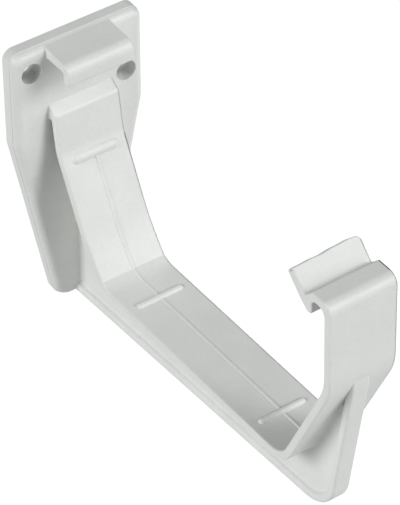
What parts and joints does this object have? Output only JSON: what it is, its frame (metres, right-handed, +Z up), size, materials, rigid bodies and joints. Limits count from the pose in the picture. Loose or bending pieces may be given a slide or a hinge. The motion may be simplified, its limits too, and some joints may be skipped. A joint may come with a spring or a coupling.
{
  "type": "gutter bracket",
  "caption": "one-piece fascia bracket for a square gutter: back plate with screw holes, stepped strap with rear clip, front hook and release tab, and a centre web with a flange",
  "frame": {"origin": "on the fascia face of the back plate, on the centre line, level with the gutter floor", "axes": "+Z up, +Y out of the fascia face towards the wall, the gutter lies along X on the -Y side"},
  "size_m": [0.0398, 0.1236, 0.087],
  "materials": {
    "upvc": "satin, off-white rigid PVC"
  },
  "bodies": {
    "root": {"bracket": "upvc"}
  },
  "joints": []
}
